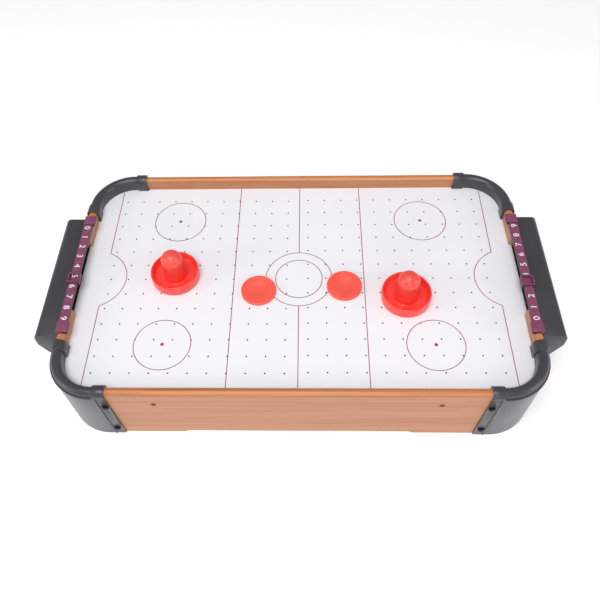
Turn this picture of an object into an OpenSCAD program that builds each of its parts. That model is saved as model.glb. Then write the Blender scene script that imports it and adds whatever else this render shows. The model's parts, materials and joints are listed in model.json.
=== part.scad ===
// Table-top air hockey table: wood-wrapped rails, rounded corner guards, drilled playing board over an
// air chamber, goal boxes with sliding score cursors, battery fan, strikers and pucks.
// Frame: origin at the centre of the footprint on the surface it stands on, +X along the length,
// +Y to the rear long side (the power switch side), +Z up.

/* [Field and rails] */
// Length of the playing field between the end rails
field_l = 486; // [480:1:496]
// Width of the playing field between the side rails
field_w = 284; // [278:1:290]
// Thickness of every rail panel
panel_t = 9.5; // [9:0.5:10]
// Height of the rounded rail top above the table it stands on
rail_h = 89; // [88.5:0.5:92]
// Height of the playing surface
board_z = 74; // [72:1:75]
// Thickness of the playing board
board_t = 3; // [2.5:0.5:3.5]
// Width of each goal mouth
goal_w = 98; // [80:2:110]

/* [Air holes] */
// Distance between neighbouring air holes
hole_pitch = 20; // [19:0.5:20]
// Radius of one air hole
hole_r = 0.9; // [0.5:0.1:1]
// Columns in each half of the board
hole_cols = 11; // [6:1:11]
// Rows across the board
hole_rows = 13; // [7:2:13]

/* [Corner guards] */
// Radius of the rail's inner face round a corner
corner_r = 39; // [36:1:42]
// Length of each clasp that grips a rail
clasp_l = 12; // [11:0.5:12.5]
// Wall thickness of the guard
guard_t = 1.8; // [1.6:0.1:2.2]

/* [Goals and scoring] */
// Length of a goal box
goal_box_l = 164; // [150:2:166]
// How far a goal box stands out from the end panel
goal_box_d = 26.5; // [26:0.5:30]
// Distance between neighbouring score numbers
score_pitch = 14.1; // [13:0.1:14.1]

/* [Strikers and pucks] */
// Radius of a striker's base
striker_r = 26.8; // [24:0.2:28]
// Height of a striker
striker_h = 42; // [40:1:46]
// Radius of a puck
puck_r = 19.5; // [18:0.5:20]
// Thickness of a puck
puck_h = 4; // [3:0.5:5]

/* [Fan] */
// Radius of the fan's air duct
duct_r = 36; // [34:1:37]
// Number of impeller blades
blades = 7; // [5:1:9]

/* [Hidden] */
$fn = 48;

// Half sizes of the field and of the outside of the panels
in_x = field_l/2;
in_y = field_w/2;
out_x = in_x + panel_t;
out_y = in_y + panel_t;
rail_r = panel_t/2;
round_z = rail_h - rail_r;
board_low = board_z - board_t;

// Corner centres and where the straight panels stop short of them
cc_x = in_x - corner_r;
cc_y = in_y - corner_r;
panel_gap = 3;
groove_d = 3.5;

// Guard: wall over the rail, clasp over the rail, flange down the panel
tube_t = 0.9;
clasp_t = 2.6;
straight_l = 1.8;
branch_l = straight_l + clasp_l;
clasp_low = round_z - 0.7;
flange_lean = 2.8;
web_t = 2.4;
web_in = 4;
bead_r = 0.8;
bead_z = clasp_low - bead_r;
ridge_s = straight_l + 1.2;
ridge_half = 0.6;
ridge_up = 0.8;
slit_w = 0.8;
slit_h = 3;
lug_l = 1;
lug_h = 3;
screw_s = straight_l + 8.4;
screw_high = board_z - 10.5;
screw_low = 13.2;
screw_l = 9;
screw_hole_r = 1.5;
screw_hole_l = 8;
guard_head_r = 3.5;

// Relief under the long panels that lets the fan breathe
relief_h = 3.5;
relief_x = 119;
relief_run = 5;

// Air chamber under the board
floor_z = 40;
floor_t = 3;
floor_top = floor_z + floor_t;
ledger_w = 8;
ledger_h = 10;
batten_x = 144.5;
batten_w = 12;
batten_h = 8;
batten_screw_z = board_low - batten_h/2;
batten_screw_l = 20;
batten_bore_l = 14;
sink_r = 3.05;
sink_d = 1.9;
sink_rim = 0.3;
ledger_half = 185;
end_ledger_half = 70;
ledger_bore_l = 7;
floor_screw_x = [-160, -80, 0, 80, 160];
floor_screw_y = 60;
skin = 0.05;

// The two half boards of holes are drilled in two passes that don't quite line up
grid_gap = 12.05;
grid_x = -0.8;
grid_y = 0.9;
grid_skew = 0.55;

// Goal box outline
box_t = 2;
box_top = rail_h - 3.5;
box_round = 7;
box_knee = 5;
box_mid = board_z - 7;
box_low = 32;
box_slope = 0.47;
knee_turn = atan(box_slope);
boss_r = 3.6;
boss_y = goal_box_l/2 - 5.5;
boss_high = 60;
boss_low = 36;
boss_in = 8;
notch_r = 4;

// Score track and cursor
track_x = in_x + rail_r;
track_top = rail_h + 2.2;
track_low = rail_h - 2;
track_half = 81;
block_l = 13;
block_w = 12;
block_shift = 0.85;
block_low = rail_h - 1;
block_up = 1;
strip_w = panel_t + 0.1;
strip_neck = strip_w - 0.8;
neck_z = rail_h - 0.2;
cursor_l = 14;
cursor_w = strip_w + 3.6;
cursor_low = track_low + 0.4;
cursor_gap = 0.1;
cursor_up = 2.6;
window = 9.5;

// Numbers run 0 to 9 from the rear on the left scale and from the front on the right scale.
// The left cursor stands just past number 5, the right one between 3 and 4.
score_first = 4.5*score_pitch;
cursor_left_y = score_first - 5.26*score_pitch;
cursor_right_y = -score_first + 3.37*score_pitch;

// Strikers and pucks as they lie: [x, y]
striker_left_at = [-138.5, 4.1];
striker_right_at = [118.2, -25.6];
puck_left_at = [-43.6, -16.7];
puck_right_at = [51.6, -10.5];
felt_t = 0.8;
felt_in = 13;
rim_h = 13;
rim_t = 2.2;
dish_z = 3.2;
post_r = 12.2;
knob_r = 11.8;
post_top_r = knob_r - 0.2;
knob_z = striker_h - knob_r;
knob_skirt = 2;
edge = 0.6;

// Fan
fan_flange = 84;
fan_hole = 36.5;
fan_low = 14;
flange_t = 2.5;
spider_t = 2.5;
cup_r = 12;
motor_r = 10;
motor_low = 15.5;
motor_top = 33;
shaft_r = 1;
shaft_top = 44.4;
hub_r = 13;
hub_low = 35.5;
hub_top = 45;
blade_tip = duct_r - 1.4;
grille_low = 11.5;
grille_t = 2;

// Battery box and cells
bat_x = 110;
bat_l = 64;
bat_w = 98;
bat_t = 2.4;
bat_low = 21;
cell_r = 7.1;
cell_l = 49.2;
nub_l = 1.3;
nub_r = 2.7;
cell_pitch = 15.2;
cell_z = 30.4;
cell_count = 6;
spring_l = 5.5;
door_t = 2;
door_gap = 0.2;
tongue = 1;
grip_x = bat_l/2 - 8;
grip_half = 12;
// Distance from the box's centre to a cell's spring end, to its plate end and to the wall
spring_at = cell_l/2 - (spring_l - 2)/2;
plate_at = cell_l/2 + (spring_l - 2)/2 + nub_l;
wall_at = bat_l/2 - bat_t;

// Rocker switch in the rear panel
sw_x = 100;
sw_z = 29;
sw_w = 18.8;
sw_h = 12.6;
sw_depth = 16;
bezel_w = 21.5;
bezel_h = 15.5;
bezel_t = 1.4;
rocker_w = 15.2;
rocker_h = 9.6;
rocker_tilt = 8;
pivot_y = out_y - 2.6;

// Leads under the air chamber floor
lead_r = 1.1;
lead_z = floor_z - 1.6;

// ---------------------------------------------------------------- helpers

// A shape drawn in (Y, Z) and run along X from x0 to x1
module along_x(x0, x1)
    translate([x0, 0, 0])
        rotate([90, 0, 90])
            linear_extrude(x1 - x0)
                children();

// A shape drawn in (X, Z) and run along Y from y0 to y1
module along_y(y0, y1)
    translate([0, y1, 0])
        rotate([90, 0, 0])
            linear_extrude(y1 - y0)
                children();

// A cylinder between two points
module rod(a, b, r)
    let (d = b - a)
        translate(a)
            rotate([0, acos(d[2]/norm(d)), atan2(d[1], d[0])])
                cylinder(r = r, h = norm(d));

module box_at(low, high)
    translate(low)
        cube(high - low);

// Rounded rectangle given by its half sizes
module rounded(hx, hy, r)
    union() {
        square([2*hx, 2*(hy - r)], center = true);
        square([2*(hx - r), 2*hy], center = true);
        for (sx = [-1, 1], sy = [-1, 1])
            translate([sx*(hx - r), sy*(hy - r)])
                circle(r);
    }

// Rail cross-section: flat sides and a half-round top, inner face at u = 0
module rail_section(low = 0)
    union() {
        translate([0, low])
            square([panel_t, round_z - low]);
        translate([rail_r, round_z])
            circle(rail_r);
    }

// Pan head screw pointing down from the origin, with a cross recess
module pan_screw(len, r = 1.45, head_r = 3)
    difference() {
        union() {
            translate([0, 0, -len])
                cylinder(r = r, h = len + 0.4);
            cylinder(r = head_r, h = 0.9);
            translate([0, 0, 0.9])
                cylinder(r1 = head_r, r2 = head_r - 1.2, h = 0.8);
        }
        for (a = [0, 90])
            rotate(a)
                translate([-head_r/2, -0.3, 0.8])
                    cube([head_r, 0.6, 2]);
    }

// Countersunk screw whose head is level with the origin
module flat_screw(len)
    difference() {
        union() {
            translate([0, 0, -len])
                cylinder(r = 1.45, h = len - 1);
            translate([0, 0, -1.9])
                cylinder(r1 = 1.45, r2 = 3, h = 1.6);
            translate([0, 0, -0.3])
                cylinder(r = 3, h = 0.3);
        }
        for (a = [0, 90])
            rotate(a)
                translate([-1.5, -0.3, -0.9])
                    cube([3, 0.6, 2]);
    }

// ---------------------------------------------------------------- wooden rails

// Long panel on the +Y side, inner face at in_y
module long_panel()
    difference() {
        along_x(-cc_x + panel_gap, cc_x - panel_gap)
            translate([in_y, 0])
                difference() {
                    rail_section();
                    translate([-1, board_low])
                        square([groove_d + 1, board_t]);
                }
        along_y(in_y - 1, out_y + 1)
            polygon([[-relief_x - relief_run, -1], [-relief_x, relief_h],
                     [relief_x, relief_h], [relief_x + relief_run, -1]]);
        for (s = [-1, 1]) {
            for (z = [screw_high, screw_low])
                translate([s*(cc_x - screw_s), out_y + 0.1, z])
                    rotate([90, 0, 0])
                        cylinder(r = screw_hole_r, h = screw_hole_l);
            translate([s*batten_x, out_y + 0.1, batten_screw_z])
                rotate([90, 0, 0])
                    cylinder(r = screw_hole_r, h = panel_t + 1);
            translate([s*batten_x, out_y - sink_d, batten_screw_z])
                rotate([-90, 0, 0])
                    cylinder(r1 = screw_hole_r, r2 = sink_r, h = sink_d - sink_rim);
            translate([s*batten_x, out_y - sink_rim, batten_screw_z])
                rotate([-90, 0, 0])
                    cylinder(r = sink_r, h = 1);
        }
    }

// End panel on the +X side with the open goal notch
module end_panel()
    difference() {
        along_y(-cc_y + panel_gap, cc_y - panel_gap)
            translate([in_x, 0])
                difference() {
                    rail_section();
                    translate([-1, board_low])
                        square([groove_d + 1, board_t]);
                }
        box_at([in_x - 1, -goal_w/2, board_low], [out_x + 1, goal_w/2, rail_h + 1]);
        for (s = [-1, 1]) {
            // eased upper corners of the notch
            translate([in_x - 1, s*(goal_w/2 + notch_r), rail_h - notch_r])
                rotate([0, 90, 0])
                    difference() {
                        translate([-notch_r - 1, s > 0 ? -notch_r - 0.01 : 0, 0])
                            cube([notch_r + 1, notch_r + 0.01, panel_t + 2]);
                        translate([0, 0, -1])
                            cylinder(r = notch_r, h = panel_t + 4);
                    }
            for (z = [screw_high, screw_low])
                translate([out_x + 0.1, s*(cc_y - screw_s), z])
                    rotate([0, -90, 0])
                        cylinder(r = screw_hole_r, h = screw_hole_l);
            for (z = [boss_high, boss_low])
                translate([in_x - 0.1, s*boss_y, z])
                    rotate([0, 90, 0])
                        cylinder(r = screw_hole_r, h = panel_t + 0.2);
        }
    }

module front_panel()
    color("#cc8f68")
        mirror([0, 1, 0])
            long_panel();

module rear_panel()
    color("#cc8f68")
        difference() {
            long_panel();
            box_at([sw_x - sw_w/2 - skin, in_y - 1, sw_z - sw_h/2 - skin],
                   [sw_x + sw_w/2 + skin, out_y + 1, sw_z + sw_h/2 + skin]);
        }

module left_end_panel()
    color("#c98a62")
        mirror([1, 0, 0])
            end_panel();

module right_end_panel()
    color("#c98a62")
        end_panel();

// ---------------------------------------------------------------- board and air chamber

// One half of the drilled pattern: side is -1 for the left half and 1 for the right half
module hole_field(side)
    translate([grid_x, grid_y + side*grid_skew])
        for (i = [0 : hole_cols - 1], j = [0 : hole_rows - 1])
            translate([side*(grid_gap + i*hole_pitch), (j - (hole_rows - 1)/2)*hole_pitch])
                circle(hole_r, $fn = 16);

module play_board()
    color("#f4f3f8")
        translate([0, 0, board_low])
            linear_extrude(board_t)
                difference() {
                    rounded(in_x + groove_d, in_y + groove_d, corner_r + groove_d);
                    hole_field(-1);
                    hole_field(1);
                }

module plenum_floor()
    color("#8a6a4c")
        translate([0, 0, floor_z])
            linear_extrude(floor_t)
                difference() {
                    rounded(in_x, in_y, corner_r);
                    circle(duct_r);
                    for (sx = [-1, 1], sy = [-1, 1])
                        translate([sx*fan_hole, sy*fan_hole])
                            circle(1.3);
                    for (x = floor_screw_x, sy = [-1, 1])
                        translate([x, sy*(in_y - ledger_w/2)])
                            circle(screw_hole_r);
                    for (sx = [-1, 1], sy = [-1, 1])
                        translate([sx*(in_x - ledger_w/2), sy*floor_screw_y])
                            circle(screw_hole_r);
                }

// Cross batten that carries the middle of the board, screwed through both long panels
module batten(side)
    color("#d9b98c")
        difference() {
            box_at([side*batten_x - batten_w/2, -in_y, board_low - batten_h],
                   [side*batten_x + batten_w/2, in_y, board_low]);
            for (s = [-1, 1])
                translate([side*batten_x, s*(in_y + 0.1), batten_screw_z])
                    rotate([s*90, 0, 0])
                        cylinder(r = screw_hole_r, h = batten_bore_l);
        }

module batten_left() batten(-1);

module batten_right() batten(1);

module ledger_long(s)
    color("#d9b98c")
        difference() {
            box_at([-ledger_half, s > 0 ? in_y - ledger_w : -in_y, floor_top],
                   [ledger_half, s > 0 ? in_y : -in_y + ledger_w, floor_top + ledger_h]);
            for (x = floor_screw_x)
                translate([x, s*(in_y - ledger_w/2), floor_top - 0.1])
                    cylinder(r = screw_hole_r, h = ledger_bore_l);
        }

module ledger_end(s)
    color("#d9b98c")
        difference() {
            box_at([s > 0 ? in_x - ledger_w : -in_x, -end_ledger_half, floor_top],
                   [s > 0 ? in_x : -in_x + ledger_w, end_ledger_half, floor_top + ledger_h]);
            for (sy = [-1, 1])
                translate([s*(in_x - ledger_w/2), sy*floor_screw_y, floor_top - 0.1])
                    cylinder(r = screw_hole_r, h = ledger_bore_l);
        }

module ledger_front() ledger_long(-1);

module ledger_rear() ledger_long(1);

module ledger_left() ledger_end(-1);

module ledger_right() ledger_end(1);

// ---------------------------------------------------------------- corner guards

// Hollow half-round hood over the line of the rail, with its outer wall down to the table.
// u is the distance from the corner centre.
module hood_section()
    union() {
        difference() {
            union() {
                translate([corner_r - tube_t, board_z])
                    square([panel_t + 2*tube_t, round_z - board_z]);
                translate([corner_r + rail_r, round_z])
                    circle(rail_r + tube_t);
            }
            translate([corner_r, 0])
                rail_section();
        }
        translate([corner_r + panel_t, 0])
            square([guard_t, clasp_low]);
        translate([corner_r + panel_t + guard_t, bead_z])
            circle(bead_r);
    }

// Shelves that carry the board and close the air chamber at the corner
module shelf_section()
    for (z = [board_low - web_t, floor_top])
        translate([corner_r - web_in, z])
            square([web_in + panel_t + 0.1, web_t]);

module clasp_section()
    difference() {
        union() {
            translate([corner_r - clasp_t, board_z])
                square([panel_t + 2*clasp_t, round_z - board_z]);
            translate([corner_r + rail_r, round_z])
                circle(rail_r + clasp_t);
        }
        translate([corner_r, 0])
            rail_section();
        translate([corner_r + panel_t + guard_t, 0])
            square([clasp_t, clasp_low]);
    }

// The straight branch that reaches from the corner centre over the end of a long panel
module guard_branch()
    difference() {
        union() {
            along_x(-straight_l, 0)
                hood_section();
            along_x(-panel_gap, 0)
                shelf_section();
            along_x(-branch_l, -straight_l)
                clasp_section();
            // flange down the face of the panel, leaning out to the foot like the ridge on it
            along_y(corner_r + panel_t, corner_r + panel_t + guard_t)
                polygon([[-branch_l - flange_lean, 0], [-straight_l, 0],
                         [-straight_l, clasp_low], [-branch_l, clasp_low]]);
            along_y(corner_r + panel_t + ridge_half, corner_r + panel_t + guard_t + ridge_up)
                polygon([[-ridge_s - ridge_half - flange_lean, 0], [-ridge_s + ridge_half - flange_lean, 0],
                         [-ridge_s + ridge_half, clasp_low + 1], [-ridge_s - ridge_half, clasp_low + 1]]);
            // small lug at the foot of the clasp, on the field side
            box_at([-branch_l - lug_l, corner_r - clasp_t, board_z],
                   [-branch_l + 1, corner_r, board_z + lug_h]);
        }
        // slit between the clasp and the hood
        box_at([-straight_l, corner_r + panel_t + tube_t/2, clasp_low],
               [-straight_l + slit_w, corner_r + panel_t + clasp_t, clasp_low + slit_h]);
        for (z = [screw_high, screw_low])
            translate([-screw_s, corner_r + panel_t + guard_t + 1, z])
                rotate([90, 0, 0])
                    cylinder(r = screw_hole_r, h = guard_t + 2);
    }

// Guard for the +X +Y corner
module corner_guard()
    color("#45464a")
        translate([cc_x, cc_y, 0])
            union() {
                rotate_extrude(angle = 90) {
                    hood_section();
                    shelf_section();
                }
                guard_branch();
                mirror([1, -1, 0])
                    guard_branch();
            }

module corner_guard_rear_right() corner_guard();

module corner_guard_rear_left() mirror([1, 0, 0]) corner_guard();

module corner_guard_front_right() mirror([0, 1, 0]) corner_guard();

module corner_guard_front_left() mirror([1, 0, 0]) mirror([0, 1, 0]) corner_guard();

module corner_screws()
    color("#1b1b1d")
        for (sx = [-1, 1], sy = [-1, 1], z = [screw_high, screw_low]) {
            translate([sx*(cc_x - screw_s), sy*(out_y + guard_t), z])
                rotate([-sy*90, 0, 0])
                    pan_screw(screw_l, head_r = guard_head_r);
            translate([sx*(out_x + guard_t), sy*(cc_y - screw_s), z])
                rotate([0, sx*90, 0])
                    pan_screw(screw_l, head_r = guard_head_r);
        }

module batten_screws()
    color("#4a3a30")
        for (sx = [-1, 1], sy = [-1, 1])
            translate([sx*batten_x, sy*(out_y - skin), batten_screw_z])
                rotate([-sy*90, 0, 0])
                    flat_screw(batten_screw_l);

module floor_screws()
    color("#9a9a9e") {
        for (x = floor_screw_x, s = [-1, 1])
            translate([x, s*(in_y - ledger_w/2), floor_z])
                rotate([180, 0, 0])
                    pan_screw(screw_l);
        for (sx = [-1, 1], sy = [-1, 1])
            translate([sx*(in_x - ledger_w/2), sy*floor_screw_y, floor_z])
                rotate([180, 0, 0])
                    pan_screw(screw_l);
    }

// ---------------------------------------------------------------- goals and scoring

// Outline of the goal box seen from its end; inset shrinks it by one wall
module goal_outline(inset)
    let (x1 = out_x + goal_box_d - inset,
         top = box_top - inset,
         r = box_round - inset,
         knee = box_knee - inset,
         turn = knee*tan(knee_turn/2),
         bend = box_mid + box_knee*tan(knee_turn/2),
         low = box_low - (inset > 0 ? 1 : 0),
         side_x = x1 - turn*sin(knee_turn),
         side_z = bend - turn*(1 + cos(knee_turn)))
        union() {
            polygon([[out_x, low],
                     [side_x - box_slope*(side_z - low), low],
                     [side_x, side_z],
                     [x1, bend],
                     [x1, top - r],
                     [x1 - r, top - r],
                     [x1 - r, top],
                     [out_x, top]]);
            translate([x1 - knee, bend])
                circle(knee);
            translate([x1 - r, top - r])
                circle(r);
        }

// Goal box on the +X end: closed top, cheeks and a sloping wall that lets a puck slide out at the foot
module goal_box()
    color("#3c3d41")
        difference() {
            union() {
                difference() {
                    along_y(-goal_box_l/2, goal_box_l/2)
                        goal_outline(0);
                    along_y(-goal_box_l/2 + box_t, goal_box_l/2 - box_t)
                        translate([-0.01, 0])
                            goal_outline(box_t);
                }
                intersection() {
                    along_y(-goal_box_l/2, goal_box_l/2)
                        goal_outline(0);
                    for (s = [-1, 1], z = [boss_high, boss_low])
                        translate([out_x, s*boss_y, z])
                            rotate([0, 90, 0])
                                cylinder(r = boss_r, h = boss_in + 3);
                }
            }
            for (s = [-1, 1], z = [boss_high, boss_low])
                translate([out_x - 0.1, s*boss_y, z])
                    rotate([0, 90, 0])
                        cylinder(r = 1.5, h = boss_in);
        }

module goal_box_right() goal_box();

module goal_box_left() mirror([1, 0, 0]) goal_box();

module goal_box_screws()
    color("#9a9a9e")
        for (sx = [-1, 1], sy = [-1, 1], z = [boss_high, boss_low])
            translate([sx*in_x, sy*boss_y, z])
                rotate([0, -sx*90, 0])
                    pan_screw(panel_t + boss_in - 1);

// Saddle that straddles the rail top: plate with undercut sides and raised end blocks
module score_track(side)
    color("#8e4a72")
        difference() {
            translate([side*track_x, 0, 0])
                union() {
                    box_at([-strip_w/2, -track_half, neck_z], [strip_w/2, track_half, track_top]);
                    box_at([-strip_neck/2, -track_half, track_low], [strip_neck/2, track_half, track_top]);
                    for (s = [-1, 1])
                        translate([-side*block_shift, s*(track_half - block_l/2), 0])
                            box_at([-block_w/2, -block_l/2, block_low],
                                   [block_w/2, block_l/2, track_top + block_up]);
                }
            translate([side*track_x, track_half + 1, round_z])
                rotate([90, 0, 0])
                    cylinder(r = rail_r + skin, h = 2*track_half + 2);
        }

module score_track_left() score_track(-1);

module score_track_right() score_track(1);

// Cursor: an open frame with skirts that hook under the plate's edges
module score_cursor(side, y)
    color("#7c3c62")
        translate([side*track_x, y, 0])
            difference() {
                box_at([-cursor_w/2, -cursor_l/2, cursor_low],
                       [cursor_w/2, cursor_l/2, track_top + cursor_up]);
                box_at([-strip_w/2 - cursor_gap, -cursor_l, neck_z - cursor_gap],
                       [strip_w/2 + cursor_gap, cursor_l, track_top + cursor_gap]);
                box_at([-strip_neck/2 - cursor_gap, -cursor_l, 0],
                       [strip_neck/2 + cursor_gap, cursor_l, neck_z]);
                translate([0, 0, track_top])
                    linear_extrude(cursor_up + 1)
                        square([window, window], center = true);
            }

module score_cursor_left() score_cursor(-1, cursor_left_y);

module score_cursor_right() score_cursor(1, cursor_right_y);

// ---------------------------------------------------------------- strikers and pucks

// Dish with a rim and a hollow post, standing on a felt ring
module striker(at)
    color("#ff3a30")
        translate([at[0], at[1], board_z])
            rotate_extrude()
                difference() {
                    polygon([[0, felt_t], [striker_r - edge, felt_t], [striker_r, felt_t + edge],
                             [striker_r, rim_h - edge], [striker_r - edge, rim_h],
                             [striker_r - rim_t + edge, rim_h], [striker_r - rim_t, rim_h - edge],
                             [striker_r - rim_t - 0.8, dish_z + 2], [striker_r - rim_t - 2.4, dish_z],
                             [post_r + 2.2, dish_z], [post_r + 0.8, dish_z + 1.2],
                             [post_r, dish_z + 4], [post_top_r, knob_z - knob_skirt],
                             [0, knob_z - knob_skirt]]);
                    translate([-1, -1])
                        square([post_r - 1.2, knob_z - knob_skirt - 1.6]);
                }

// Domed knob glued on the post
module striker_knob(at)
    color("#ff6a58")
        translate([at[0], at[1], board_z])
            rotate_extrude()
                intersection() {
                    union() {
                        translate([0, knob_z])
                            circle(knob_r);
                        translate([0, knob_z - knob_skirt])
                            square([knob_r, knob_skirt]);
                    }
                    translate([0, knob_z - knob_skirt])
                        square([knob_r, 2*knob_r]);
                }

module striker_felt(at)
    color("#2d2d30")
        translate([at[0], at[1], board_z])
            linear_extrude(felt_t)
                difference() {
                    circle(striker_r - 1.4);
                    circle(felt_in);
                }

module striker_left() striker(striker_left_at);

module striker_right() striker(striker_right_at);

module striker_knob_left() striker_knob(striker_left_at);

module striker_knob_right() striker_knob(striker_right_at);

module striker_felt_left() striker_felt(striker_left_at);

module striker_felt_right() striker_felt(striker_right_at);

module puck(at)
    color("#ff6152")
        translate([at[0], at[1], board_z])
            rotate_extrude()
                polygon([[0, 0], [puck_r - edge, 0], [puck_r, edge], [puck_r, puck_h - edge],
                         [puck_r - edge, puck_h], [puck_r - 2.4, puck_h],
                         [puck_r - 2.9, puck_h - 0.3], [0, puck_h - 0.3]]);

module puck_left() puck(puck_left_at);

module puck_right() puck(puck_right_at);

// ---------------------------------------------------------------- fan

// Round duct with a square flange and a three-armed spider that holds the motor
module fan_shroud()
    color("#2f3033")
        difference() {
            union() {
                translate([0, 0, floor_z - flange_t])
                    linear_extrude(flange_t)
                        rounded(fan_flange/2, fan_flange/2, 6);
                translate([0, 0, fan_low])
                    cylinder(r = duct_r + 2, h = floor_z - fan_low);
            }
            difference() {
                translate([0, 0, fan_low - 1])
                    cylinder(r = duct_r, h = floor_z);
                translate([0, 0, fan_low])
                    cylinder(r = cup_r, h = 12);
                for (a = [30, 150, 270])
                    rotate(a)
                        translate([0, -2.5, fan_low])
                            cube([duct_r + 1, 5, spider_t]);
            }
            translate([0, 0, motor_low])
                cylinder(r = motor_r + skin, h = 30);
            for (sx = [-1, 1], sy = [-1, 1])
                translate([sx*fan_hole, sy*fan_hole, floor_z - flange_t - 1])
                    cylinder(r = 1.5, h = flange_t + 2);
        }

module fan_motor()
    color("#b9bcc2")
        difference() {
            union() {
                translate([0, 0, motor_low])
                    cylinder(r = motor_r, h = motor_top - motor_low);
                translate([0, 0, motor_top])
                    cylinder(r = 3, h = 1.2);
            }
            translate([0, 0, motor_low + 2])
                cylinder(r = shaft_r + skin, h = 30);
        }

module motor_shaft()
    color("#d8dade")
        translate([0, 0, motor_low + 2.5])
            cylinder(r = shaft_r, h = shaft_top - motor_low - 2.5);

// Hub cup pressed on the shaft, with pitched blades
module fan_impeller()
    color("#e8e8e4")
        difference() {
            union() {
                translate([0, 0, hub_low])
                    cylinder(r = hub_r, h = hub_top - hub_low);
                intersection() {
                    translate([0, 0, hub_low + 0.3])
                        difference() {
                            cylinder(r = blade_tip, h = hub_top - hub_low - 0.6);
                            translate([0, 0, -1])
                                cylinder(r = hub_r - 1, h = 20);
                        }
                    for (i = [0 : blades - 1])
                        rotate(i*360/blades)
                            translate([hub_r - 2, 0, (hub_low + hub_top)/2])
                                rotate([48, 0, 0])
                                    translate([0, -0.7, -8])
                                        cube([duct_r, 1.4, 16]);
                }
            }
            difference() {
                translate([0, 0, hub_low - 1])
                    cylinder(r = hub_r - 1.6, h = hub_top - hub_low - 0.6);
                translate([0, 0, hub_low - 2])
                    cylinder(r = 3, h = 20);
            }
            translate([0, 0, hub_low - 1])
                cylinder(r = shaft_r + 0.01, h = shaft_top - hub_low + 1.1);
        }

module fan_grille()
    color("#26272a")
        translate([0, 0, grille_low])
            linear_extrude(grille_t)
                union() {
                    for (r = [7 : 7 : 35])
                        difference() {
                            circle(r + 0.8);
                            circle(r - 0.8);
                        }
                    difference() {
                        circle(duct_r + 2);
                        circle(duct_r - 1.4);
                    }
                    for (a = [0 : 60 : 120])
                        rotate(a)
                            difference() {
                                square([2*duct_r, 2], center = true);
                                circle(7);
                            }
                }

module fan_screws()
    color("#9a9a9e")
        for (sx = [-1, 1], sy = [-1, 1])
            translate([sx*fan_hole, sy*fan_hole, floor_z - flange_t])
                rotate([180, 0, 0])
                    pan_screw(flange_t + floor_t - 0.2, 1.25);

// ---------------------------------------------------------------- battery box

module battery_box()
    color("#2f3033")
        translate([bat_x, 0, 0])
            difference() {
                box_at([-bat_l/2, -bat_w/2, bat_low], [bat_l/2, bat_w/2, floor_z]);
                box_at([-bat_l/2 + bat_t, -bat_w/2 + bat_t, bat_low - 1],
                       [bat_l/2 - bat_t, bat_w/2 - bat_t, floor_z - 1.8]);
                // way out for the sliding door, and its grooves
                box_at([bat_l/2 - bat_t - 1, -bat_w/2 + bat_t, bat_low - 1],
                       [bat_l/2 + 1, bat_w/2 - bat_t, bat_low + door_t + 2*door_gap]);
                box_at([-bat_l/2 + bat_t, -bat_w/2 + bat_t - tongue - door_gap, bat_low + 0.6],
                       [bat_l/2 + 1, bat_w/2 - bat_t + tongue + door_gap, bat_low + 2]);
            }

module battery_door()
    color("#37383b")
        translate([bat_x, 0, 0]) {
            box_at([-bat_l/2 + bat_t + door_gap, -bat_w/2 + bat_t + door_gap, bat_low + door_gap],
                   [bat_l/2, bat_w/2 - bat_t - door_gap, bat_low + door_gap + door_t]);
            box_at([-bat_l/2 + bat_t + door_gap, -bat_w/2 + bat_t - tongue + door_gap, bat_low + 0.8],
                   [bat_l/2, bat_w/2 - bat_t + tongue - door_gap, bat_low + 1.8]);
            for (i = [0 : 4])
                box_at([grip_x - 1 - 2.4*i, -grip_half, bat_low - 0.4],
                       [grip_x - 2.4*i, grip_half, bat_low + 1]);
        }

// Cells lie side by side and point opposite ways in turn
module battery_cell(i)
    let (way = i % 2 == 0 ? 1 : -1,
         y = (i - (cell_count - 1)/2)*cell_pitch)
        color(way > 0 ? "#c8a04a" : "#b8923f")
            translate([bat_x, y, cell_z])
                rotate([0, way*90, 0])
                    translate([0, 0, -cell_l/2 + (spring_l - 2)/2]) {
                        cylinder(r = cell_r, h = cell_l);
                        translate([0, 0, cell_l - 0.2])
                            cylinder(r = nub_r, h = nub_l + 0.2);
                    }

module battery_cell_1() battery_cell(0);

module battery_cell_2() battery_cell(1);

module battery_cell_3() battery_cell(2);

module battery_cell_4() battery_cell(3);

module battery_cell_5() battery_cell(4);

module battery_cell_6() battery_cell(5);

// Stacked coils that narrow towards the cell, one behind each flat end
module battery_springs()
    color("#c9ccd1")
        for (i = [0 : cell_count - 1])
            let (way = i % 2 == 0 ? -1 : 1,
                 y = (i - (cell_count - 1)/2)*cell_pitch,
                 run = wall_at - spring_at,
                 coil_r = 0.7,
                 coils = 5)
                translate([bat_x + way*wall_at, y, cell_z])
                    rotate([0, -way*90, 0])
                        rotate_extrude()
                            for (k = [0 : coils - 1])
                                translate([4.6 - 0.25*k, coil_r + k*(run - 2*coil_r)/(coils - 1)])
                                    circle(coil_r, $fn = 16);

module battery_contacts()
    color("#c9ccd1")
        for (i = [0 : cell_count - 1])
            let (way = i % 2 == 0 ? 1 : -1,
                 y = (i - (cell_count - 1)/2)*cell_pitch)
                translate([bat_x + way*(plate_at + wall_at)/2, y, cell_z])
                    cube([wall_at - plate_at, 9, 9], center = true);

// ---------------------------------------------------------------- switch and leads

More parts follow.
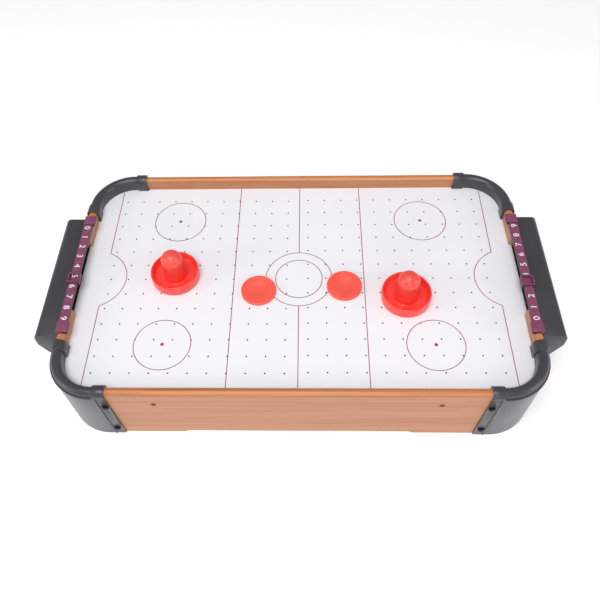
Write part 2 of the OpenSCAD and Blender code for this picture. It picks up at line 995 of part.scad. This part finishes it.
module switch_housing()
    color("#1d1d1f")
        difference() {
            union() {
                box_at([sw_x - sw_w/2, out_y - sw_depth, sw_z - sw_h/2],
                       [sw_x + sw_w/2, out_y, sw_z + sw_h/2]);
                box_at([sw_x - bezel_w/2, out_y, sw_z - bezel_h/2],
                       [sw_x + bezel_w/2, out_y + bezel_t, sw_z + bezel_h/2]);
            }
            box_at([sw_x - rocker_w/2 - 0.9, out_y - 9, sw_z - rocker_h/2 - 0.3],
                   [sw_x + rocker_w/2 + 0.9, out_y + 5, sw_z + rocker_h/2 + 0.3]);
            translate([sw_x, pivot_y, sw_z - 6])
                cylinder(r = 1.05, h = 12);
        }

// Rocker at rest with its right end pressed in
module switch_rocker()
    color("#c22a22")
        translate([sw_x, pivot_y, sw_z])
            union() {
                rotate(-rocker_tilt)
                    translate([0, 0, -rocker_h/2])
                        linear_extrude(rocker_h)
                            polygon([[-rocker_w/2, 4], [-rocker_w/2 + 0.6, 4.8], [0, 3.2],
                                     [rocker_w/2 - 0.6, 4.8], [rocker_w/2, 4], [rocker_w/2, -0.6],
                                     [3, -4.6], [-3, -4.6], [-rocker_w/2, -0.6]]);
                translate([0, 0, -5.8])
                    cylinder(r = 1, h = 11.6);
            }

// A lead along a list of points: straight runs joined by small knuckles
module lead(points, shade)
    color(shade)
        union() {
            for (i = [0 : len(points) - 2])
                rod(points[i], points[i + 1], lead_r);
            for (i = [1 : len(points) - 2])
                translate(points[i])
                    sphere(lead_r + 0.06, $fn = 24);
        }

module lead_battery_switch()
    lead([[88, bat_w/2, lead_z], [88, 120, lead_z], [96, 120, lead_z], [96, 120, sw_z + 2],
          [96, out_y - sw_depth, sw_z + 2]], "#c9241e");

module lead_switch_fan()
    lead([[104, out_y - sw_depth, sw_z + 2], [104, 128, sw_z + 2], [104, 128, lead_z],
          [60, 128, lead_z], [60, 4, lead_z - 2.6], [duct_r + 2, 4, lead_z - 2.6]], "#c9241e");

module lead_battery_fan()
    lead([[bat_x - bat_l/2, -6, lead_z - 2.6], [duct_r + 2, -6, lead_z - 2.6]], "#1b1b1d");

front_panel();
rear_panel();
left_end_panel();
right_end_panel();
play_board();
plenum_floor();
batten_left();
batten_right();
ledger_front();
ledger_rear();
ledger_left();
ledger_right();
corner_guard_front_left();
corner_guard_front_right();
corner_guard_rear_left();
corner_guard_rear_right();
corner_screws();
batten_screws();
floor_screws();
goal_box_left();
goal_box_right();
goal_box_screws();
score_track_left();
score_track_right();
score_cursor_left();
score_cursor_right();
striker_left();
striker_knob_left();
striker_felt_left();
striker_right();
striker_knob_right();
striker_felt_right();
puck_left();
puck_right();
fan_shroud();
fan_motor();
motor_shaft();
fan_impeller();
fan_grille();
fan_screws();
battery_box();
battery_door();
battery_springs();
battery_contacts();
battery_cell_1();
battery_cell_2();
battery_cell_3();
battery_cell_4();
battery_cell_5();
battery_cell_6();
switch_housing();
switch_rocker();
lead_battery_switch();
lead_switch_fan();
lead_battery_fan();
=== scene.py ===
"""Table-top air hockey table: finishes, printed rink, score numbers and rounded mouldings
made over the fixed CAD frame. Lengths are in millimetres until a piece is placed."""

import json
import math

import bmesh
import bpy
from mathutils import Matrix, Vector


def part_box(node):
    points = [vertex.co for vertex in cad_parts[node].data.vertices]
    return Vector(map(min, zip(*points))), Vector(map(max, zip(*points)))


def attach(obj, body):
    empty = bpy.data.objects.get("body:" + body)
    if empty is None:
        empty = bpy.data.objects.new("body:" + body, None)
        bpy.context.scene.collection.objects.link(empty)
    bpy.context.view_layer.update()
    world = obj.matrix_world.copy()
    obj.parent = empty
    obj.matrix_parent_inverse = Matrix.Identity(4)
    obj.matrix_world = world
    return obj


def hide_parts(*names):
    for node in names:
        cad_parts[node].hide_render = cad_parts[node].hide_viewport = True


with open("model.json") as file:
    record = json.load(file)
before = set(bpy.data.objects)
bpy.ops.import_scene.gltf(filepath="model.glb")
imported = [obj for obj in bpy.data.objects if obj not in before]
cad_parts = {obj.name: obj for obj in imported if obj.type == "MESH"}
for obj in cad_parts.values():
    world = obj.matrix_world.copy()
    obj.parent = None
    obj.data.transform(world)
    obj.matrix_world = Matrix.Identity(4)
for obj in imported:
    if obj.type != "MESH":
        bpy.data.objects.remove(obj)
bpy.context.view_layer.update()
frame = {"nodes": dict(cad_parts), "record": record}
MM = 0.001
SHARP = 35

# ------------------------------------------------------------------ camera

CAMERA_AT = (13.1, -427.1, 647.5)
CAMERA_TURN = (34.85, 1.58, 1.0)
LENS = 38.05
SHIFT = (0.0183, -0.0005)


def set_camera():
    data = bpy.data.cameras.new("camera")
    data.lens = LENS
    data.sensor_width = 36
    data.shift_x, data.shift_y = SHIFT
    data.clip_start = 0.01
    data.clip_end = 20
    camera = bpy.data.objects.new("camera", data)
    camera.location = Vector(CAMERA_AT) * MM
    camera.rotation_euler = [math.radians(a) for a in CAMERA_TURN]
    bpy.context.scene.collection.objects.link(camera)
    bpy.context.scene.camera = camera


set_camera()

# ------------------------------------------------------------------ node helpers


def tint(code):
    """Linear colour of a hex colour code."""
    parts = [int(code[i:i + 2], 16) / 255 for i in (0, 2, 4)]
    return [c / 12.92 if c <= 0.04045 else ((c + 0.055) / 1.055) ** 2.4 for c in parts] + [1]


def new_material(name, **shader):
    """A material whose shader sockets are set by name, with _ for each space."""
    material = bpy.data.materials.new(name)
    material.use_nodes = True
    for socket, value in shader.items():
        material.node_tree.nodes["Principled BSDF"].inputs[socket.replace("_", " ")].default_value = value
    return material


def add(material, kind, inputs=None, **settings):
    """One more node: its inputs are numbers, colours or other nodes' outputs."""
    node = material.node_tree.nodes.new("ShaderNode" + kind)
    for key, value in settings.items():
        setattr(node, key, value)
    for socket, value in (inputs or {}).items():
        if isinstance(value, bpy.types.NodeSocket):
            material.node_tree.links.new(value, node.inputs[socket])
        else:
            node.inputs[socket].default_value = value
    return node


def feed(material, socket, output):
    shader = material.node_tree.nodes["Principled BSDF"]
    material.node_tree.links.new(output, shader.inputs[socket])


def place(material, stretch=(1, 1, 1)):
    """Object coordinates, stretched along each axis."""
    where = add(material, "TexCoord").outputs["Object"]
    return add(material, "Mapping", {"Vector": where, "Scale": stretch}).outputs[0]


def noise(material, where, scale, detail=3.0, rough=0.5, distortion=0.0):
    made = add(material, "TexNoise", {"Vector": where, "Scale": scale, "Detail": detail,
                                      "Roughness": rough, "Distortion": distortion})
    return made.outputs["Fac"]


def ramp(material, value, stops):
    """Colour ramp from (place, hex colour) pairs."""
    made = add(material, "ValToRGB", {"Fac": value})
    band = made.color_ramp
    while len(band.elements) < len(stops):
        band.elements.new(1)
    for element, (at, code) in zip(band.elements, stops):
        element.position = at
        element.color = tint(code)
    return made.outputs["Color"]


def blend_colour(material, share, low, high, kind="MIX"):
    made = add(material, "Mix", {"Factor": share}, data_type="RGBA", blend_type=kind)
    for index, value in ((6, low), (7, high)):
        if isinstance(value, bpy.types.NodeSocket):
            material.node_tree.links.new(value, made.inputs[index])
        else:
            made.inputs[index].default_value = value
    return made.outputs[2]


def span(material, value, low, high, to_low=0.0, to_high=1.0):
    made = add(material, "MapRange", {"Value": value, "From Min": low, "From Max": high,
                                      "To Min": to_low, "To Max": to_high})
    return made.outputs["Result"]


def sums(material, kind, a, b=0.0):
    return add(material, "Math", {0: a, 1: b}, operation=kind).outputs[0]


def bump(material, height, strength, depth):
    made = add(material, "Bump", {"Height": height, "Strength": strength, "Distance": depth * MM})
    feed(material, "Normal", made.outputs["Normal"])


# ------------------------------------------------------------------ finishes


EDGE_Z = 86.3
EDGE_BLEND = 0.6
STREAK_SHARE = 0.6
SILL_Z = 78
FLAT_ON = 0.9


def wood_foil(name, grain, sill_bare_and_shade_dark, sill_bare_and_shade_light):
    """Wood-print foil wrapped round a fibreboard panel; grain is the axis it runs along (0 or 1).
    The rounded top has a warmer print than the face, with a darker line of painted shade along the
    crease between them; cut ends are bare board, and sills take the two sill colours, which on the
    end panels are a painted shade under the score tracks."""
    material = new_material(name, Roughness=0.42, Coat_Weight=0.1, Coat_Roughness=0.3)
    fine = [260, 260, 260]
    broad = [60, 60, 60]
    fine[grain] = 4
    broad[grain] = 2.2
    streaks = noise(material, place(material, fine), 1.6, 4, 0.65)
    bands = noise(material, place(material, broad), 1.2, 3, 0.5, 0.6)
    both = sums(material, "ADD", sums(material, "MULTIPLY", streaks, STREAK_SHARE),
                sums(material, "MULTIPLY", bands, 1 - STREAK_SHARE))
    face = ramp(material, both, [(0.33, "a36342"), (0.47, "b1744d"), (0.56, "ba7f57"), (0.70, "c78f65")])
    warm = ramp(material, both, [(0.33, "aa6435"), (0.47, "c27945"), (0.56, "ce8651"), (0.70, "dd9b68")])
    height = add(material, "SeparateXYZ", {0: add(material, "TexCoord").outputs["Object"]}).outputs["Z"]
    over_edge = span(material, height, EDGE_Z * MM, (EDGE_Z + EDGE_BLEND) * MM)
    foil = blend_colour(material, over_edge, face, warm)
    # painted shade: a darker line along the crease where the rounded top meets the face
    off_crease = sums(material, "ABSOLUTE", sums(material, "SUBTRACT", height, EDGE_Z * MM))
    crease_shade = span(material, off_crease, EDGE_BLEND / 3 * MM, EDGE_BLEND * MM, 0.72, 1.0)
    shade = add(material, "CombineColor", {0: crease_shade, 1: crease_shade, 2: crease_shade}).outputs[0]
    foil = blend_colour(material, 1.0, foil, shade, "MULTIPLY")
    spots = noise(material, place(material, (900, 900, 900)), 1.0, 2)
    bare = ramp(material, spots, [(0.35, "b08d63"), (0.65, "d2b48a")])
    # sill colours: bare board on the long panels, painted shade on the end panels' sills under the score
    # tracks
    shaded = ramp(material, spots, [(0.35, sill_bare_and_shade_dark), (0.65, sill_bare_and_shade_light)])
    facing = add(material, "SeparateXYZ", {0: add(material, "TexCoord").outputs["Normal"]}).outputs
    end_cut = sums(material, "GREATER_THAN", sums(material, "ABSOLUTE", facing[grain]), FLAT_ON)
    flat = sums(material, "GREATER_THAN", sums(material, "ABSOLUTE", facing["Z"]), FLAT_ON)
    sill = sums(material, "MULTIPLY", flat, sums(material, "LESS_THAN", height, SILL_Z * MM))
    foil = blend_colour(material, end_cut, foil, bare)
    feed(material, "Base Color", blend_colour(material, sill, foil, shaded))
    bump(material, streaks, 0.12, 0.15)
    return material


def moulded(name, dark, light, roughness=0.5, grain=2600, depth=0.06, cloud=25, side=None):
    """Moulded plastic with a fine grain and slow colour change. A side colour, where given, is
    painted shade: everything that doesn't face up is coloured darker than the top."""
    material = new_material(name, Roughness=roughness, IOR=1.5)
    clouds = noise(material, place(material), cloud, 2)
    colour = ramp(material, clouds, [(0.3, dark), (0.7, light)])
    # painted shade: faces that don't face up take the darker side colour
    if side:
        facing = add(material, "TexCoord").outputs["Normal"]
        up = add(material, "SeparateXYZ", {0: facing}).outputs["Z"]
        colour = blend_colour(material, span(material, up, 0.3, 0.8), tint(side), colour)
    feed(material, "Base Color", colour)
    pits = noise(material, place(material), grain, 2)
    feed(material, "Roughness", span(material, pits, 0.3, 0.7, roughness - 0.06, roughness + 0.06))
    bump(material, pits, 0.35, depth)
    return material


def glossy(name, dark, light, roughness, depth_of_colour):
    """Clear-coloured glossy plastic with faint flow marks under the skin."""
    material = new_material(name, Roughness=roughness, IOR=1.49, Subsurface_Weight=depth_of_colour,
                            Subsurface_Scale=4 * MM, Subsurface_Radius=(1.0, 0.25, 0.15),
                            Coat_Weight=0.35, Coat_Roughness=0.25)
    flow = noise(material, place(material), 38, 3, 0.5, 1.2)
    feed(material, "Base Color", ramp(material, flow, [(0.3, dark), (0.7, light)]))
    marks = noise(material, place(material), 420, 3)
    feed(material, "Roughness", span(material, marks, 0.3, 0.7, roughness - 0.05, roughness + 0.07))
    bump(material, flow, 0.08, 0.3)
    return material


def laminate(name):
    """Smooth white laminate with the faintest orange-peel; holes and edges show the brown fibreboard
    under it, coloured very dark, which is painted shade in the holes.
    """
    material = new_material(name, Roughness=0.32, IOR=1.45)
    clouds = noise(material, place(material), 9, 3)
    white = ramp(material, clouds, [(0.3, "f0f0f5"), (0.7, "f4f4f9")])
    fibres = noise(material, place(material, (900, 900, 900)), 1.0, 3)
    # hole walls and edges: the board's own brown, darkened as painted shade in the holes
    core_and_hole_shade = ramp(material, fibres, [(0.3, "2e241d"), (0.7, "453529")])
    facing = add(material, "TexCoord").outputs["Normal"]
    up = add(material, "SeparateXYZ", {0: facing}).outputs["Z"]
    face = sums(material, "GREATER_THAN", sums(material, "ABSOLUTE", up), 0.5)
    feed(material, "Base Color", blend_colour(material, face, core_and_hole_shade, white))
    peel = noise(material, place(material), 700, 2)
    feed(material, "Roughness", span(material, peel, 0.3, 0.7, 0.28, 0.38))
    bump(material, peel, 0.06, 0.05)
    return material


def ink(name, dark, light, glow=0.0):
    """Printed ink or paper with a faint speckle; a glow lifts it towards white."""
    material = new_material(name, Roughness=0.45, Emission_Color=(1, 1, 1, 1), Emission_Strength=glow)
    speck = noise(material, place(material), 900, 3)
    feed(material, "Base Color", ramp(material, speck, [(0.3, dark), (0.7, light)]))
    return material


def hardboard(name, dark, light, fibre):
    """Pressed fibreboard or softwood: fibres of a stated stretch over slow colour change."""
    material = new_material(name, Roughness=0.75)
    fibres = noise(material, place(material, fibre), 1.0, 4, 0.6)
    feed(material, "Base Color", ramp(material, fibres, [(0.3, dark), (0.7, light)]))
    bump(material, fibres, 0.4, 0.2)
    return material


def metal(name, colour, worn, roughness, brushed=(1500, 1500, 90)):
    """Plated metal with fine lines along one axis."""
    material = new_material(name, Metallic=1.0, Roughness=roughness)
    lines = noise(material, place(material, brushed), 1.0, 3)
    feed(material, "Base Color", ramp(material, lines, [(0.3, colour), (0.75, worn)]))
    feed(material, "Roughness", span(material, lines, 0.3, 0.7, roughness - 0.08, roughness + 0.1))
    bump(material, lines, 0.1, 0.05)
    return material


def felt(name):
    """Pressed dark felt with matted hairs."""
    material = new_material(name, Roughness=0.95, Sheen_Weight=0.5, Sheen_Roughness=0.6)
    hairs = noise(material, place(material), 1800, 4, 0.7, 1.5)
    feed(material, "Base Color", ramp(material, hairs, [(0.3, "1c1c1e"), (0.7, "3d3d41")]))
    bump(material, hairs, 0.8, 0.4)
    return material


FINISHES = {
    "rail_wood": wood_foil("rail_wood_along", 0, "b08d63", "d2b48a"),
    "board_white": laminate("board_white"),
    "hardboard": hardboard("hardboard", "6b4c33", "8f6b4a", (220, 220, 220)),
    "pine": hardboard("pine", "c9a56f", "e0c491", (60, 60, 500)),
    "guard_plastic": moulded("guard_plastic", "3d3c42", "434248", 0.3),
    "goal_plastic": moulded("goal_plastic", "3a3a3f", "404045", 0.42),
    # the last colour of the track and of the cursor is painted shade on all their faces that don't face
    # up
    "track_plastic": moulded("track_plastic", "7c3d5c", "8a4a68", 0.38, 1800, 0.03, 260, "4a1d33"),
    "cursor_plastic": moulded("cursor_plastic", "75365a", "803f63", 0.32, 1800, 0.03, 120, "52223d"),
    "striker_plastic": glossy("striker_plastic", "fc3e34", "ff493f", 0.34, 0.2),
    "knob_plastic": glossy("knob_plastic", "f74b3b", "fd5947", 0.38, 0.3),
    "felt": felt("felt"),
    "puck_plastic": glossy("puck_plastic", "fb5543", "ff604d", 0.42, 0.15),
    "black_screw": metal("black_screw", "17171a", "2b2b30", 0.38),
    "brown_screw": metal("brown_screw", "5c3b28", "805a42", 0.42),
    "steel_screw": metal("steel_screw", "a9a9ae", "d0d0d4", 0.32),
    "fan_plastic": moulded("fan_plastic", "2b2c2f", "333438", 0.5),
    "motor_steel": metal("motor_steel", "b4b8be", "d6d8dc", 0.25),
    "impeller_plastic": moulded("impeller_plastic", "dcdcd6", "e8e8e2", 0.35, 2000, 0.03),
    "battery_plastic": moulded("battery_plastic", "2b2c2f", "343539", 0.5),
    "contact_metal": metal("contact_metal", "c3c6cb", "e2e4e8", 0.2),
    "cell_label": metal("cell_label", "a8843a", "cda552", 0.35, (40, 900, 900)),
    "switch_black": moulded("switch_black", "151517", "1d1d20", 0.3, 2200, 0.02),
    "switch_red": moulded("switch_red", "b5241b", "c22e25", 0.28, 2200, 0.02),
    "red_lead": moulded("red_lead", "b51c14", "c9281f", 0.4, 1500, 0.02),
    "black_lead": moulded("black_lead", "121213", "1c1c1e", 0.4, 1500, 0.02),
}
# the end panels' sill colours are a dark brown painted shade, for sills lying in the score tracks' shadow
END_WOOD = wood_foil("rail_wood_across", 1, "33231b", "463127")
RINK_INK = ink("rink_ink", "8f3f4c", "9c4853")
NUMBER_INK = ink("number_ink", "e9e6ea", "f4f2f5")

# ------------------------------------------------------------------ modelling helpers


def finish_piece(name, shape, material, body, replaced=()):
    """Turns a shape modelled in millimetres into a piece of the table."""
    bmesh.ops.scale(shape, vec=(MM, MM, MM), verts=shape.verts)
    mesh = bpy.data.meshes.new(name)
    shape.to_mesh(mesh)
    shape.free()
    mesh.shade_smooth()
    mesh.set_sharp_from_angle(angle=math.radians(SHARP))
    mesh.materials.append(material)
    made = bpy.data.objects.new(name, mesh)
    bpy.context.scene.collection.objects.link(made)
    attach(made, body)
    if replaced:
        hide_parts(*replaced)
    return made


def arc(x, z, radius, start, end, steps=6):
    """Points on an arc of an outline, from one angle to another in degrees."""
    turns = [math.radians(start + (end - start) * i / steps) for i in range(steps + 1)]
    return [(x + radius * math.cos(t), z + radius * math.sin(t)) for t in turns]


LATHE_STEPS = 96
WELD = 0.001


def lathe(outline, at):
    """Closed round shape from an outline of (radius, height) that starts and ends on the axis."""
    shape = bmesh.new()
    points = [shape.verts.new((r, 0, z)) for r, z in outline]
    edges = [shape.edges.new(pair) for pair in zip(points, points[1:])]
    bmesh.ops.spin(shape, geom=points + edges, cent=(0, 0, 0), axis=(0, 0, 1), dvec=(0, 0, 0),
                   angle=math.tau, steps=LATHE_STEPS, use_merge=True)
    bmesh.ops.remove_doubles(shape, verts=shape.verts, dist=WELD)
    bmesh.ops.recalc_face_normals(shape, faces=shape.faces)
    bmesh.ops.translate(shape, vec=at, verts=shape.verts)
    return shape


def eased(node, width):
    """Copy of a CAD node whose outer corners have a small moulded radius."""
    shape = bmesh.new()
    shape.from_mesh(frame["nodes"][node].data)
    bmesh.ops.scale(shape, vec=(1 / MM, 1 / MM, 1 / MM), verts=shape.verts)
    bmesh.ops.remove_doubles(shape, verts=shape.verts, dist=2 * WELD)
    bmesh.ops.join_triangles(shape, faces=shape.faces, angle_face_threshold=0.005,
                             angle_shape_threshold=math.pi)
    corners = [e for e in shape.edges
               if len(e.link_faces) == 2 and e.is_convex and e.calc_face_angle() > math.radians(SHARP)]
    bmesh.ops.bevel(shape, geom=corners, offset=width, offset_type="OFFSET", segments=2, profile=0.5,
                    affect="EDGES", material=-1, clamp_overlap=False)
    bmesh.ops.remove_doubles(shape, verts=shape.verts, dist=2 * WELD)
    bmesh.ops.recalc_face_normals(shape, faces=shape.faces)
    row = next(r for r in frame["record"]["subparts"] if r["node"] == node)
    body = next(b for b, nodes in frame["record"]["behaviour"]["bodies"].items() if node in nodes)
    slot = row["material_slot"]
    finish_piece(f"{node}_moulding", shape, FINISHES[slot], body, [node])


def foot_of(node):
    """Centre of a node's box on its underside, in millimetres."""
    low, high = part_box(node)
    return Vector(((low.x + high.x) / 2, (low.y + high.y) / 2, low.z)) / MM


# ------------------------------------------------------------------ strikers and pucks

FELT = 0.8
STRIKER_R = 26.8
FOOT_R = 0.9
RIM_H = 13
RIM = 1.1
BOWL_Z = 3.2
BOWL_R = 5
BOWL_LEAN = 0.4
POST_R = 12.2
POST_FOOT = 1.2
POST_WALL = 1.4
POST_TOP = 28.2
CAP_T = 1.8
CORE_R = 1.5
KNOB_R = 11.8
KNOB_EDGE = 0.4
KNOB_NECK = 2


def striker(side):
    at = foot_of(f"striker_{side}") - Vector((0, 0, FELT))
    hollow = POST_R - POST_WALL
    ceiling = POST_TOP - CAP_T
    outline = ([(0, ceiling)] + arc(hollow - CORE_R, ceiling - CORE_R, CORE_R, 90, 0, 4)
               + [(hollow, FELT)]
               + arc(STRIKER_R - FOOT_R, FELT + FOOT_R, FOOT_R, -90, 0, 5)
               + arc(STRIKER_R - RIM, RIM_H - RIM, RIM, 0, 180, 10)
               + arc(STRIKER_R - 2 * RIM - BOWL_LEAN - BOWL_R, BOWL_Z + BOWL_R, BOWL_R, 0, -90, 8)
               + arc(POST_R + POST_FOOT, BOWL_Z + POST_FOOT, POST_FOOT, -90, -180, 5)
               + [(KNOB_R - KNOB_EDGE / 2, POST_TOP), (0, POST_TOP)])
    finish_piece(f"striker_{side}_dish", lathe(outline, at), FINISHES["striker_plastic"],
                 f"striker_{side}", [f"striker_{side}"])
    knob = ([(0, POST_TOP)] + arc(KNOB_R - KNOB_EDGE, POST_TOP + KNOB_EDGE, KNOB_EDGE, -90, 0, 4)
            + arc(0, POST_TOP + KNOB_NECK, KNOB_R, 0, 90, 20))
    finish_piece(f"striker_{side}_knob", lathe(knob, at), FINISHES["knob_plastic"],
                 f"striker_{side}", [f"striker_knob_{side}"])


PUCK_R = 19.5
PUCK_H = 4
PUCK_FOOT = 0.7
PUCK_EDGE = 0.9
LIP_W = 2.6
LIP_R = 0.45
LIP_IN = 0.8
LIP_DROP = 0.75
FACE_DROP = 0.35
FACE_IN = 4.6
HUB_R = 9.6
HUB_SLOPE = 0.4
HUB_DROP = 0.6


def puck(side):
    at = foot_of(f"puck_{side}")
    face = PUCK_H - FACE_DROP
    hub = PUCK_H - HUB_DROP
    outline = ([(0, 0)] + arc(PUCK_R - PUCK_FOOT, PUCK_FOOT, PUCK_FOOT, -90, 0, 5)
               + arc(PUCK_R - PUCK_EDGE, PUCK_H - PUCK_EDGE, PUCK_EDGE, 0, 90, 6)
               + arc(PUCK_R - LIP_W, PUCK_H, LIP_R, 0, -90, 4)
               + arc(PUCK_R - LIP_W - LIP_IN, PUCK_H - LIP_DROP, LIP_R, 90, 110, 3)
               + [(PUCK_R - FACE_IN, face), (HUB_R, face), (HUB_R - HUB_SLOPE, hub), (0, hub)])
    finish_piece(f"puck_{side}_disc", lathe(outline, at), FINISHES["puck_plastic"],
                 f"puck_{side}", [f"puck_{side}"])


# moulded radius of each kind of piece
GOAL_EASE = 0.5
TRACK_EASE = 0.15
CURSOR_EASE = 0.25
GUARD_EASE = 0.2
SMALL_EASE = 0.3

for side in ("left", "right"):
    striker(side)
    puck(side)
    eased(f"goal_box_{side}", GOAL_EASE)
    eased(f"score_track_{side}", TRACK_EASE)
    eased(f"score_cursor_{side}", CURSOR_EASE)
    for row in ("front", "rear"):
        eased(f"corner_guard_{row}_{side}", GUARD_EASE)
for node in ("switch_housing", "switch_rocker", "battery_box"):
    eased(node, SMALL_EASE)

# ------------------------------------------------------------------ printed rink

BOARD_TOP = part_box("play_board")[1].z / MM
INK_T = 0.04
LINE_W = 0.85
RINK_AT = (0.95, 1.1)
LINE_X = 73.15
GOAL_LINE_X = 220.75
CREASE_X = 236.6
CREASE_R = 40.25
FACE_OFF = (144, 86.5)
FACE_OFF_R = 30.5
DOT_R = 1.1
DOT_W = 1.8
CENTRE_R = (37.3, 26.3)
GOAL_LINE_ENDS = (135, -136.5)
PANEL_GAP = 0.2


def line(shape, x0, y0, x1, y1):
    """Straight printed line between two points of the rink."""
    run = Vector((x1 - x0, y1 - y0, 0))
    across = run.normalized().cross(Vector((0, 0, 1))) * LINE_W / 2
    start = Vector((x0, y0, 0))
    ends = [shape.verts.new(start - across), shape.verts.new(start + across)]
    edge = shape.edges.new(ends)
    grown = bmesh.ops.extrude_edge_only(shape, edges=[edge])["geom"]
    bmesh.ops.translate(shape, vec=run, verts=[v for v in grown if isinstance(v, bmesh.types.BMVert)])


def curve(shape, x, y, radius, start=0, turn=360, width=LINE_W):
    """Printed arc or full ring about a point of the rink."""
    angle = math.radians(start)
    out = Vector((math.cos(angle), math.sin(angle), 0))
    ends = [shape.verts.new(Vector((x, y, 0)) + out * (radius + s * width / 2)) for s in (-1, 1)]
    edge = shape.edges.new(ends)
    bmesh.ops.spin(shape, geom=ends + [edge], cent=(x, y, 0), axis=(0, 0, 1), dvec=(0, 0, 0),
                   angle=math.radians(turn), steps=int(radius * turn / 180) + 8, use_merge=turn == 360)


def rink():
    """All printed lines of the board, as one thin layer of ink."""
    shape = bmesh.new()
    inner_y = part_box("front_panel")[1].y / MM
    reach = math.degrees(math.acos((CREASE_X - GOAL_LINE_X) / CREASE_R))
    crease_y = CREASE_R * math.sin(math.radians(reach))
    low_y = inner_y + PANEL_GAP - RINK_AT[1]
    high_y = -inner_y - PANEL_GAP - RINK_AT[1]
    for s in (-1, 1):
        line(shape, s * LINE_X, low_y, s * LINE_X, high_y)
        line(shape, s * GOAL_LINE_X, crease_y, s * GOAL_LINE_X, GOAL_LINE_ENDS[0])
        line(shape, s * GOAL_LINE_X, GOAL_LINE_ENDS[1], s * GOAL_LINE_X, -crease_y)
        curve(shape, s * CREASE_X, 0, CREASE_R, (180 if s > 0 else 0) - reach, 2 * reach)
        line(shape, 0, s * CENTRE_R[0], 0, high_y if s > 0 else low_y)
        for t in (-1, 1):
            curve(shape, s * FACE_OFF[0], t * FACE_OFF[1], FACE_OFF_R)
            curve(shape, s * FACE_OFF[0], t * FACE_OFF[1], DOT_R, width=DOT_W)
    for radius in CENTRE_R:
        curve(shape, 0, 0, radius)
    bmesh.ops.remove_doubles(shape, verts=shape.verts, dist=WELD / 10)
    bmesh.ops.solidify(shape, geom=shape.faces, thickness=INK_T)
    bmesh.ops.recalc_face_normals(shape, faces=shape.faces)
    low = min(v.co.z for v in shape.verts)
    bmesh.ops.translate(shape, vec=(*RINK_AT, BOARD_TOP - low), verts=shape.verts)
    finish_piece("rink_print", shape, RINK_INK, "table")


rink()

# ------------------------------------------------------------------ score numbers

NUMBER_TALL = 6.5
NUMBER_WIDE = 1.12
NUMBER_T = 0.02
NUMBER_BOLD = 0.006
BLOCK_RISE = 1
SCORE_PITCH = 14.1
FIRST_AT = 4.5 * SCORE_PITCH


def number(shape, digit, x, y, z, turn):
    """One numeral lying flat, its top turned from +Y by an angle in degrees."""
    text = bpy.data.curves.new("numeral", "FONT")
    text.body = str(digit)
    text.align_x = "CENTER"
    text.extrude = NUMBER_T
    text.offset = NUMBER_BOLD
    flat = bpy.data.objects.new("numeral", text)
    bpy.context.scene.collection.objects.link(flat)
    mesh = bpy.data.meshes.new_from_object(flat)
    bpy.data.objects.remove(flat)
    low = min(v.co.y for v in mesh.vertices)
    high = max(v.co.y for v in mesh.vertices)
    size = NUMBER_TALL / (high - low)
    mesh.transform(Matrix.Translation((0, -(low + high) / 2, 0)))
    mesh.transform(Matrix.Diagonal((size * NUMBER_WIDE, size, 1, 1)))
    mesh.transform(Matrix.Translation((x, y, z)) @ Matrix.Rotation(math.radians(turn), 4, "Z"))
    shape.from_mesh(mesh)
    bpy.data.meshes.remove(mesh)


def score_numbers(side, s):
    """The numerals 0 to 9 along one score track; s is -1 at the left end and 1 at the right."""
    low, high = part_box(f"{side}_end_panel")
    x = (low.x + high.x) / 2 / MM
    strip_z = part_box(f"score_track_{side}")[1].z / MM - BLOCK_RISE
    shape = bmesh.new()
    for digit in range(10):
        number(shape, digit, x, s * (-FIRST_AT + digit * SCORE_PITCH), strip_z + NUMBER_T, s * 90)
    finish_piece(f"score_numbers_{side}", shape, NUMBER_INK, "table")


score_numbers("left", -1)
score_numbers("right", 1)

# ------------------------------------------------------------------ CAD nodes' finishes


def finish_cad():
    """Gives every CAD node its finish; the end panels' grain runs across."""
    for row in frame["record"]["subparts"]:
        material = FINISHES[row["material_slot"]]
        if row["node"].endswith("_end_panel"):
            material = END_WOOD
        node = frame["nodes"][row["node"]]
        for slot in node.material_slots:
            slot.material = material


finish_cad()

# ------------------------------------------------------------------ floor and light


FLOOR_HALF = 6
FLOOR_GLOW = 0.2


def set_floor():
    shape = bmesh.new()
    bmesh.ops.create_grid(shape, x_segments=1, y_segments=1, size=FLOOR_HALF)
    mesh = bpy.data.meshes.new("floor")
    shape.to_mesh(mesh)
    shape.free()
    mesh.materials.append(ink("floor_paper", "fdfdfd", "ffffff", FLOOR_GLOW))
    floor = bpy.data.objects.new("floor", mesh)
    bpy.context.scene.collection.objects.link(floor)


def area_light(name, at, size, power):
    data = bpy.data.lights.new(name, "AREA")
    data.shape = "DISK"
    data.size = size
    data.energy = power
    light = bpy.data.objects.new(name, data)
    light.location = at
    light.rotation_mode = "QUATERNION"
    light.rotation_quaternion = (-Vector(at)).to_track_quat("-Z", "Y")
    bpy.context.scene.collection.objects.link(light)


def set_light():
    world = bpy.data.worlds.new("studio")
    world.use_nodes = True
    world.node_tree.nodes["Background"].inputs["Color"].default_value = (1, 1, 1, 1)
    world.node_tree.nodes["Background"].inputs["Strength"].default_value = 0.35
    bpy.context.scene.world = world
    area_light("top", (-0.3, -0.8, 2.2), 1.5, 32)
    area_light("front", (0.2, -1.8, 0.9), 1.0, 5)
    area_light("right", (2.0, -0.8, 0.8), 1.0, 10)
    area_light("left", (-2.0, -0.8, 0.8), 1.0, 10)
    bpy.context.scene.view_settings.view_transform = "Standard"


set_floor()
set_light()
